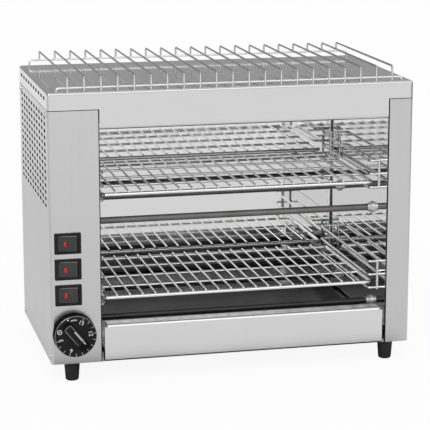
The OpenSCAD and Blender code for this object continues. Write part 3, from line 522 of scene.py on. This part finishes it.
zinc_steel = steel_finish("zinc_steel", shade=0.70, spread=0.04, roughness=0.30, haze=0.06,
                          stretch=PLATED, relief=8e-6)
print("steel finishes", len(bpy.data.materials) - 1)

# %% [markdown]
# ## Heating tubes, bushes and contacts
# A sheathed heating tube leaves the factory dark: the alloy is oxidised to a dull grey that varies along
# its length. The lowest tubes, right above the tray, are blackened. The bushes are pale pressed metal
# that stays bright, and the contacts inside the control column are brass with a little tarnish. One
# recipe serves them all: two colours mixed by the patches of handling.

# %% Heating and contact finishes
FINE_SKIN = (900, 900, 900)
PATCH_HAZE = 0.05
ALONG_TUBE = (30, 90, 90)


def mottled_finish(name, first, second, metallic, roughness, stretch, relief):
    """Two colours mixed by broad patches, with a skin-like relief in metres."""
    made, tree, shader = start_finish(name, metallic, roughness)
    patches = place_effect(tree, handling, stretch)
    skin = place_effect(tree, moulding, FINE_SKIN)
    dulled = spread_value(tree, patches, roughness - PATCH_HAZE, roughness + PATCH_HAZE)
    tree.links.new(spread_colour(tree, patches, first, second), shader.inputs["Base Color"])
    tree.links.new(dulled, shader.inputs["Roughness"])
    add_relief(tree, shader, skin, RELIEF_STRENGTH, relief)
    return made


heater_sheath = mottled_finish("heater_sheath", (0.17, 0.166, 0.162, 1), (0.23, 0.225, 0.22, 1),
                               metallic=0.7, roughness=0.45, stretch=ALONG_TUBE, relief=2e-5)
low_sheath = mottled_finish("low_sheath", (0.050, 0.049, 0.048, 1), (0.080, 0.078, 0.076, 1),
                            metallic=0.7, roughness=0.40, stretch=ALONG_TUBE, relief=2e-5)
bush_metal = mottled_finish("bush_metal", (0.70, 0.69, 0.68, 1), (0.82, 0.81, 0.80, 1),
                            metallic=0.5, roughness=0.30, stretch=(60, 60, 60), relief=1e-5)
brass = mottled_finish("brass", (0.58, 0.40, 0.16, 1), (0.76, 0.58, 0.27, 1),
                       metallic=1.0, roughness=0.32, stretch=(120, 120, 120), relief=1e-5)
print("mottled finishes", [f.name for f in (heater_sheath, low_sheath, bush_metal, brass)])

# %% [markdown]
# ## Plastics and rubber
# The switches and the knob are black moulded plastic, and the feet are rubber. Black is never even: a
# moulded skin breaks up the gloss, and the colour drifts by a little. A plastic that mirrors a white
# room looks grey, so the knob, which is the darkest piece, has no mirror of its own but a thin coat of
# shine. The coat is missing on the knob's rim, and it is full along edges that fingers have worn. A mask
# on the coat's weight does this within one material.

# %% Plastic recipe
WORN_IOR, WORN_ROUGHNESS = 3.0, 0.14
DRIFT, DRIFT_STRETCH = 0.12, (55, 55, 55)
SKIN_HAZE, SKIN_STRENGTH = 0.06, 0.35


def moulded_finish(name, colour, roughness, mirror, grain, relief, gloss=0.0, dull=None, edges=(),
                   coat_ior=WORN_IOR, coat_roughness=WORN_ROUGHNESS):
    """Moulded plastic: a colour that drifts by about a tenth, and a fine skin of a relief in metres.

    Gloss is the weight of a coat. The coat is missing in the dull box and full, as if worn to a shine,
    in the boxes of edges.
    """
    made, tree, shader = start_finish(name, 0.0, roughness)
    shader.inputs["Specular IOR Level"].default_value = mirror
    shader.inputs["Coat Weight"].default_value = gloss
    shader.inputs["Coat IOR"].default_value = coat_ior
    shader.inputs["Coat Roughness"].default_value = coat_roughness
    shine = spread_value(tree, box_mask(tree, *dull), gloss, 0.0) if dull else gloss
    for box in edges:
        shine = work_out(tree, "MAXIMUM", shine, box_mask(tree, *box))
    if edges:
        tree.links.new(shine, shader.inputs["Coat Weight"])
    drift = place_effect(tree, handling, DRIFT_STRETCH)
    skin = place_effect(tree, moulding, (grain, grain, grain))
    low = tuple((1 - DRIFT) * v for v in colour) + (1.0,)
    high = tuple((1 + DRIFT) * v for v in colour) + (1.0,)
    dulled = spread_value(tree, skin, roughness - SKIN_HAZE, roughness + SKIN_HAZE)
    tree.links.new(spread_colour(tree, drift, low, high), shader.inputs["Base Color"])
    tree.links.new(dulled, shader.inputs["Roughness"])
    add_relief(tree, shader, skin, SKIN_STRENGTH, relief)
    return made


print("plastic recipe ready")

# %% [markdown]
# The worn places are boxes again. The knob's front edge and the chamfer of its grip are slices in depth,
# and the rockers' upper edges are slices in height. These are found from each rocker's own box, which
# ends a little above the edge, at the pivot. The lens gets a clear coat of its own, thin and smooth.

# %% Plastic finishes
KNOB_FACE, RIM_ROUND = -0.1350, 0.0012
CREST, GRIP_CHAMFER = 0.0090, 0.0012
GRIP_TOP = KNOB_FACE - CREST
PIVOT_PAST, ROCKER_EDGE = 0.00135, 0.0007
WORN_EDGE = 0.0001

knob_rim = ((-FAR, KNOB_FACE + RIM_ROUND, -FAR), HIGH_END, WORN_EDGE)
knob_bead = ((-FAR, KNOB_FACE + SHARP, -FAR), (FAR, KNOB_FACE + RIM_ROUND, FAR), WORN_EDGE)
grip_edge = ((-FAR, GRIP_TOP + SHARP, -FAR), (FAR, GRIP_TOP + GRIP_CHAMFER, FAR), WORN_EDGE)
rocker_tops = [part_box("rocker_%d" % i)[1][2] - PIVOT_PAST for i in (1, 2, 3)]
rocker_edges = [((-FAR, -FAR, top - ROCKER_EDGE), (FAR, FAR, top + ROCKER_EDGE), WORN_EDGE)
                for top in rocker_tops]

switch_plastic = moulded_finish("switch_plastic", (0.012, 0.012, 0.0125), roughness=0.42, mirror=0.20,
                                grain=2200, relief=2e-5)
rocker_plastic = moulded_finish("rocker_plastic", (0.034, 0.034, 0.035), roughness=0.36, mirror=0.40,
                                grain=2600, relief=1e-5, edges=rocker_edges)
knob_plastic = moulded_finish("knob_plastic", (0.010, 0.010, 0.010), roughness=0.34, mirror=0.0,
                              grain=2200, relief=2e-5, gloss=0.05, dull=knob_rim,
                              edges=(knob_bead, grip_edge))
rubber = moulded_finish("rubber", (0.020, 0.020, 0.020), roughness=0.62, mirror=0.30,
                        grain=1500, relief=4e-5)
lens_red = moulded_finish("lens_red", (0.47, 0.027, 0.006), roughness=0.20, mirror=0.2,
                          grain=700, relief=1e-5, gloss=0.4, coat_ior=1.5, coat_roughness=0.04)
print("rockers' upper edges at", np.round(rocker_tops, 4).tolist())

# %% [markdown]
# ## Giving out the finishes
# The record names a material slot for every node of the construction, so a table by that name hands out
# the finishes. A few pieces differ from the others in their slot: the crumb pan and the heat shield take
# a darker steel as painted shade, the tray's front is brighter, and the lowest tubes are blackened.

# %% Give each node its finish


def give(finish, *names):
    """Puts a finish into every material slot of the named nodes."""
    for name in names:
        for place in nodes[name].material_slots:
            place.material = finish


by_slot = {
    "casing_steel": casing_steel, "cover_steel": cover_steel, "plain_steel": plain_steel,
    "polished_steel": polished_steel, "guide_wire": guide_wire, "rack_wire": rack_wire,
    "grid_wire": grid_wire, "heater_sheath": heater_sheath, "ceramic": bush_metal, "brass": brass,
    "zinc_steel": zinc_steel, "switch_plastic": switch_plastic, "rocker_plastic": rocker_plastic,
    "lens_red": lens_red, "knob_plastic": knob_plastic, "rubber": rubber,
}
for part in frame["record"]["subparts"]:
    give(by_slot[part["material_slot"]], part["node"])
give(shaded_steel, "tray_pan", "heat_shield")
give(tray_steel, "tray_front")
give(low_sheath, "lower_front_element", "lower_rear_element")

# %% [markdown]
# ## Screw heads
# The side walls and the rear panel are held by pan-head screws with a cross recess. In the construction
# they are plain domes. A better head is one surface of revolution: a ring of points that climbs a
# rounded profile to the crown, pushed in wherever it lies inside the two arms of the cross. Cutting the
# cross out with a boolean would work too, but leaves long thin faces round the cut.

# %% Screw head
HEAD_RADIUS, HEAD_HEIGHT, HEAD_POWER = 0.0030, 0.0020, 2.6
HEAD_ROWS, HEAD_COLUMNS, HEAD_CLIMB = 40, 72, 0.985
ARM_HALF, ARM_REACH, ARM_DEPTH = 0.00045, 0.0017, 0.0013
ARM_WALL, ARM_FADE = 0.0002, 1.6


def pan_head(rows, columns):
    """A pan head standing on z = 0.

    Along u a superellipse climbs from the rim to the crown; along v it turns once round. Points closer
    to an axis than the half width of an arm, and nearer the middle than its reach, sink by the depth,
    which fades to nothing at the arm's end.
    """
    u = np.linspace(0, 0.5 * np.pi * HEAD_CLIMB, rows)[:, None]
    v = np.linspace(0, 2 * np.pi, columns, endpoint=False)[None, :]
    out = HEAD_RADIUS * np.cos(u) ** (2 / HEAD_POWER)
    x = out * np.cos(v)
    y = out * np.sin(v)
    z = HEAD_HEIGHT * np.sin(u) ** (2 / HEAD_POWER) + 0 * v
    near = np.minimum(abs(x), abs(y))
    far = np.maximum(abs(x), abs(y))
    across = np.clip((ARM_HALF - near) / ARM_WALL, 0, 1)
    sink = across * np.clip((ARM_REACH - far) / ARM_REACH * ARM_FADE, 0, 1)
    z = z - ARM_DEPTH * sink
    grid = np.stack([x, y, z], axis=-1).reshape(-1, 3)
    ends = np.array([[0, 0, 0], [0, 0, HEAD_HEIGHT - ARM_DEPTH]])
    return np.concatenate([grid, ends])


head = pan_head(HEAD_ROWS, HEAD_COLUMNS)
head_faces = ring_faces(HEAD_ROWS, HEAD_COLUMNS)
print("screw head", len(head), "points")

# %% [markdown]
# The head is worked out once and set down at every screw. A frame of three directions stands it on its
# wall, and each one is turned by another angle, because no two screws stop alike.

# %% Set down the screw heads
SIDE_X, SIDE_Y, SIDE_Z = 0.220, 0.106, (0.030, 0.318)
REAR_X, REAR_Y, REAR_Z = 0.214, 0.120, (0.043, 0.1735, 0.304)
SIDE_TURN, SIDE_STEP, REAR_STEP = 17, 31, 40


def facing(axis, turn):
    """Rows of a frame whose third axis is the given one, turned about it by an angle in degrees."""
    axis = np.asarray(axis, float)
    side = np.cross((0, 0, 1), axis)
    up = np.cross(axis, side)
    c, s = math.cos(math.radians(turn)), math.sin(math.radians(turn))
    return np.stack([c * side + s * up, c * up - s * side, axis])


side_places = [(s * SIDE_X, y, z) for s in (-1, 1) for y in (-SIDE_Y, SIDE_Y) for z in SIDE_Z]
side_frames = [facing((np.sign(p[0]), 0, 0), SIDE_TURN + SIDE_STEP * i) for i, p in enumerate(side_places)]
rear_places = [(x, REAR_Y, z) for x in (-REAR_X, REAR_X) for z in REAR_Z]
rear_frames = [facing((0, 1, 0), REAR_STEP * i) for i in range(len(rear_places))]
for name, node, frames, places in (("side_screw_heads", "casing_screws", side_frames, side_places),
                                   ("rear_screw_heads", "rear_screws", rear_frames, rear_places)):
    made = mesh_object(name, *repeat_shape(head, *head_faces, frames, places))
    made.data.materials.append(zinc_steel)
    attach(made, "casing")
    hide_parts(node)
    print(name, len(places), "heads,", len(made.data.polygons), "faces")

# %% [markdown]
# ## Switch lenses
# Each rocker carries a small red lens, and a lens is a drop: an ellipsoid cut off at the bottom of its
# pocket, narrower towards its upper end, with the crown hanging low. The rings of the drop climb from the
# pocket to the crown. The finished drop is turned with its rocker, which is tilted as in the picture.

# %% Switch lenses
LENS_WIDTH, LENS_HEIGHT, LENS_SAG = 0.0052, 0.0072, 0.0018
LENS_FROM, LENS_TO, LENS_ASIDE = 0.0018, 0.0040, -0.0030
LENS_BROAD, LENS_TAPER = 0.82, 0.22
LENS_ROWS, LENS_COLUMNS, LENS_CLIMB = 20, 40, 0.97
ROCKER_PIVOT = (-0.199, -0.119)
ROCKER_TILT = -7.0


def lens_drop(rows, columns):
    """A drop in front of y = 0.

    Along u an ellipse climbs from the foot to the crown; along v it turns once round. Each ring is wider in
    its lower half than in its upper half and hangs a little lower than the ring before.
    """
    u = np.linspace(0, 0.5 * np.pi * LENS_CLIMB, rows)[:, None]
    v = np.linspace(0, 2 * np.pi, columns, endpoint=False)[None, :]
    z = 0.5 * LENS_HEIGHT * np.cos(u) * np.sin(v) - LENS_SAG * np.sin(u)
    x = 0.5 * LENS_WIDTH * np.cos(u) * np.cos(v) * (LENS_BROAD - LENS_TAPER * np.sin(v))
    y = -LENS_FROM - (LENS_TO - LENS_FROM) * np.sin(u) + 0 * v
    grid = np.stack([x + LENS_ASIDE, y, z], axis=-1).reshape(-1, 3)
    ends = np.array([[LENS_ASIDE, -LENS_FROM, 0], [LENS_ASIDE, -LENS_TO, 0]])
    return np.concatenate([grid, ends])


tilt = math.radians(ROCKER_TILT)
tilted = np.array([[math.cos(tilt), math.sin(tilt), 0], [-math.sin(tilt), math.cos(tilt), 0], [0, 0, 1]])
drop = lens_drop(LENS_ROWS, LENS_COLUMNS)
drop_faces = ring_faces(LENS_ROWS, LENS_COLUMNS)
for i, body in enumerate(("rocker_top", "rocker_middle", "rocker_bottom"), start=1):
    low, high = np.array(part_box("lens_%d" % i))
    pivot = (*ROCKER_PIVOT, (low[2] + high[2]) / 2)
    made = mesh_object("lens_drop_%d" % i, *repeat_shape(drop, *drop_faces, [tilted], [pivot]))
    made.data.materials.append(lens_red)
    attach(made, body)
    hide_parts("lens_%d" % i)
    print(made.name, "at height", round(pivot[2], 4))

# %% [markdown]
# ## Printing
# The dial's marks are printed on the knob and turn with it. Ink is a flat colour that drifts a little
# where it lies thinner, so the mottled recipe serves again. A print could be a picture laid over the
# knob; as thin plates it stays sharp from any distance.

# %% Printing
INK_THIN, INK_THICK, INK_ROUGHNESS = 0.9, 1.08, 0.5
INK_STRETCH = (400, 400, 400)


def mottled_print(name, shade):
    """Printing ink: a grey that drifts a little where it lies thinner."""
    return mottled_finish(name, grey(shade * INK_THIN), grey(shade * INK_THICK), metallic=0.0,
                          roughness=INK_ROUGHNESS, stretch=INK_STRETCH, relief=5e-6)


def gather(shapes):
    """Joins shapes given as points, quads and fans into one set of points and faces."""
    points, faces, count = [], [], 0
    for shape, quads, fans in shapes:
        points.append(shape)
        faces += (quads + count).tolist() + (fans + count).tolist()
        count += len(shape)
    return np.concatenate(points), faces


def add_print(name, shapes, finish, body):
    """One printed piece of several shapes that rides on a body."""
    made = mesh_object(name, *gather(shapes), smooth=False)
    made.data.materials.append(finish)
    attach(made, body)
    print(name, len(made.data.polygons), "faces")


white_print = mottled_print("white_print", 0.80)
grey_print = mottled_print("grey_print", 0.42)
dark_print = mottled_print("dark_print", 0.05)
print("inks", [f.name for f in (white_print, grey_print, dark_print)])

# %% [markdown]
# ## Dial
# The minutes are lines round the knob's face. Lines and arcs are thin plates: a small rectangle, seen in
# section, carried round the dial between two angles.

# %% Dial lines
DIAL = np.array([-0.1935, KNOB_FACE, 0.0600])
PRINT = 0.00008
TICK_COUNT, TICK_START, TICK_STEP = 13, 24, 58.4 / 3
TICK_HALF, TICK_RADII, TICK_ROWS = 0.8, (0.0205, 0.0240), 3
ARC_ANGLES, ARC_RADII, ARC_ROWS = (-16.7, 4.8), (0.0192, 0.0209), 16


def closed_strip(grid):
    """A shape from rows of points round a section: its points, quads and a fan to each end's middle."""
    points = np.concatenate([grid.reshape(-1, 3), grid[0].mean(0)[None], grid[-1].mean(0)[None]])
    return (points, *ring_faces(*grid.shape[:2]))


def polar_plate(middle, angles, radii, rows, thick=PRINT):
    """A plate on the knob's face: a rectangle between two radii carried from one angle to another.

    Angles are in degrees clockwise from the top, seen from the front; x is the radius times the sine,
    z the radius times the cosine, and the plate's front lies a thickness before the face.
    """
    inner, outer = radii
    turn = np.radians(np.linspace(*angles, rows))[:, None]
    radius = np.array([inner, outer, outer, inner])[None, :]
    lift = np.array([0, 0, -thick, -thick])[None, :]
    x = middle[0] + radius * np.sin(turn)
    z = middle[2] + radius * np.cos(turn)
    y = middle[1] + lift + 0 * turn
    return closed_strip(np.stack([x, y, z], axis=-1))


tick_angles = TICK_START + TICK_STEP * np.arange(0, TICK_COUNT)
ticks = [polar_plate(DIAL, (a - TICK_HALF, a + TICK_HALF), TICK_RADII, TICK_ROWS) for a in tick_angles]
add_print("dial_ticks", ticks, grey_print, "timer_dial")
add_print("dial_arc", [polar_plate(DIAL, ARC_ANGLES, ARC_RADII, ARC_ROWS)], grey_print, "timer_dial")

# %% [markdown]
# The numbers start as text, because a font already holds their outlines. The text becomes a mesh, whose
# points are then turned and moved as arrays so that the tops of the numbers point outwards.

# %% Dial numbers
NUMBERS = (("15", 24.0), ("12", 82.4), ("9", 140.8), ("6", 199.2), ("3", 257.6))
NUMBER_SIZE = 0.0068
NUMBER_RADIUS = 0.0178
FRONT = np.array([0, -1, 0])


def flat_number(text, size):
    """The triangles of a text, made a mesh and centred on the origin of its own plane."""
    letters = bpy.data.curves.new("number", "FONT")
    letters.body = text
    letters.size = size
    letters.extrude = PRINT / 2
    holder = bpy.data.objects.new("number", letters)
    bpy.context.collection.objects.link(holder)
    bpy.context.view_layer.update()
    mesh = bpy.data.meshes.new_from_object(holder.evaluated_get(bpy.context.evaluated_depsgraph_get()))
    points = np.empty(len(mesh.vertices) * 3)
    mesh.vertices.foreach_get("co", points)
    points = points.reshape(-1, 3)
    mesh.calc_loop_triangles()
    corners = np.empty(len(mesh.loop_triangles) * 3, int)
    mesh.loop_triangles.foreach_get("vertices", corners)
    bpy.data.objects.remove(holder)
    bpy.data.curves.remove(letters)
    bpy.data.meshes.remove(mesh)
    return points - (points.min(0) + points.max(0)) / 2, corners.reshape(-1, 3)


def dial_ways(angle):
    """The ways outwards and clockwise on the dial at an angle in degrees clockwise from the top."""
    turn = math.radians(angle)
    return (np.array([math.sin(turn), 0, math.cos(turn)]),
            np.array([math.cos(turn), 0, -math.sin(turn)]))


def on_dial(points, angle, radius):
    """Stands a flat shape on the knob's face, its top pointing outwards at an angle and a radius.

    Right of the shape is the way clockwise, up is the way outwards, and its thickness faces the front.
    """
    outward, clockwise = dial_ways(angle)
    flat = points[:, :1] * clockwise + (points[:, 1:2] + radius) * outward
    return DIAL + flat + (points[:, 2:] + PRINT / 2) * FRONT


no_quads = np.zeros((0, 4), int)
numbers = []
for text, angle in NUMBERS:
    points, corners = flat_number(text, NUMBER_SIZE)
    numbers.append((on_dial(points, angle, NUMBER_RADIUS), no_quads, corners))
add_print("dial_numbers", numbers, white_print, "timer_dial")

# %% [markdown]
# ## Symbols
# Off is a small ring with a dot in it, and the hold position is a dot alone. The ring is a plate carried
# nearly once round, and a dot is two rings of points, closed by a fan at the bottom and at the top.

# %% Symbols
OFF_ANGLE, OFF_RADIUS, OFF_DOT = -71.5, 0.0200, 0.0008
HOLD_ANGLE, HOLD_RADIUS, HOLD_DOT = -24.0, 0.0223, 0.0009
RING_ANGLES, RING_RADII, RING_ROWS = (0, 359.9), (0.0021, 0.0029), 48
DOT_COLUMNS, DOT_TOP = 24, 0.9


def dial_spot(angle, radius):
    """A point on the knob's face at an angle and a radius."""
    return DIAL + radius * dial_ways(angle)[0]


def low_dot(middle, radius):
    """A flat dot: two rings of points, the inner one lifted by the thickness of the print."""
    turn = np.linspace(0, 2 * np.pi, DOT_COLUMNS, endpoint=False)[None, :]
    out = np.array([radius, DOT_TOP * radius])[:, None]
    lift = np.array([0, -PRINT])[:, None]
    grid = np.stack([out * np.cos(turn), lift + 0 * turn, out * np.sin(turn)], axis=-1)
    ends = np.array([[0, 0, 0], [0, -PRINT, 0]])
    return (middle + np.concatenate([grid.reshape(-1, 3), ends]), *ring_faces(2, DOT_COLUMNS))


off_spot = dial_spot(OFF_ANGLE, OFF_RADIUS)
symbols = [polar_plate(off_spot, RING_ANGLES, RING_RADII, RING_ROWS), low_dot(off_spot, OFF_DOT),
           low_dot(dial_spot(HOLD_ANGLE, HOLD_RADIUS), HOLD_DOT)]
add_print("dial_symbols", symbols, white_print, "timer_dial")

# %% [markdown]
# ## Pointer and index
# The pointer is a white line along the crest of the grip: its path follows the crest, level first and
# then down the slope, and a small rectangle is carried along it. A short dark mark on the column shows
# where the dial is read. It belongs to the casing, so it stays when the knob turns.

# %% Pointer and index
GRIP_TURN = -39.0
FLAT_END, SLOPE = -0.0070, 7.5 / 13.0
POINTER_ALONG, POINTER_OFFSET, POINTER_WIDTH = (-0.013, 0.008), 0.0030, 0.0010
POINTER_ROWS, POINTER_PRINT = 24, 0.00003
INDEX_ANGLES, INDEX_Z = (-0.3, 0.3), (0.0857, 0.0883)
INDEX_ROWS, INDEX_PRINT = 2, 0.00005


def crest_line(along, offset, width, rows):
    """A strip on the grip's crest: a rectangle carried along the grip, at the crest's height.

    The height is level up to the end of the flat and then falls with the slope.
    """
    way, side = dial_ways(GRIP_TURN)
    t = np.linspace(*along, rows)[:, None]
    height = CREST - SLOPE * np.maximum(0, FLAT_END - t)
    across = offset + width * np.array([-0.5, 0.5, 0.5, -0.5])[None, :]
    lift = np.array([0, 0, POINTER_PRINT, POINTER_PRINT])[None, :]
    grid = DIAL + t[..., None] * way + across[..., None] * side
    return closed_strip(grid + (height + lift)[..., None] * FRONT)


pointer = crest_line(POINTER_ALONG, POINTER_OFFSET, POINTER_WIDTH, POINTER_ROWS)
add_print("grip_pointer", [pointer], white_print, "timer_dial")
panel_spot = np.array([DIAL[0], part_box("left_casing")[0][1], 0.0])
index = polar_plate(panel_spot, INDEX_ANGLES, INDEX_Z, INDEX_ROWS, INDEX_PRINT)
add_print("dial_index", [index], dark_print, "casing")
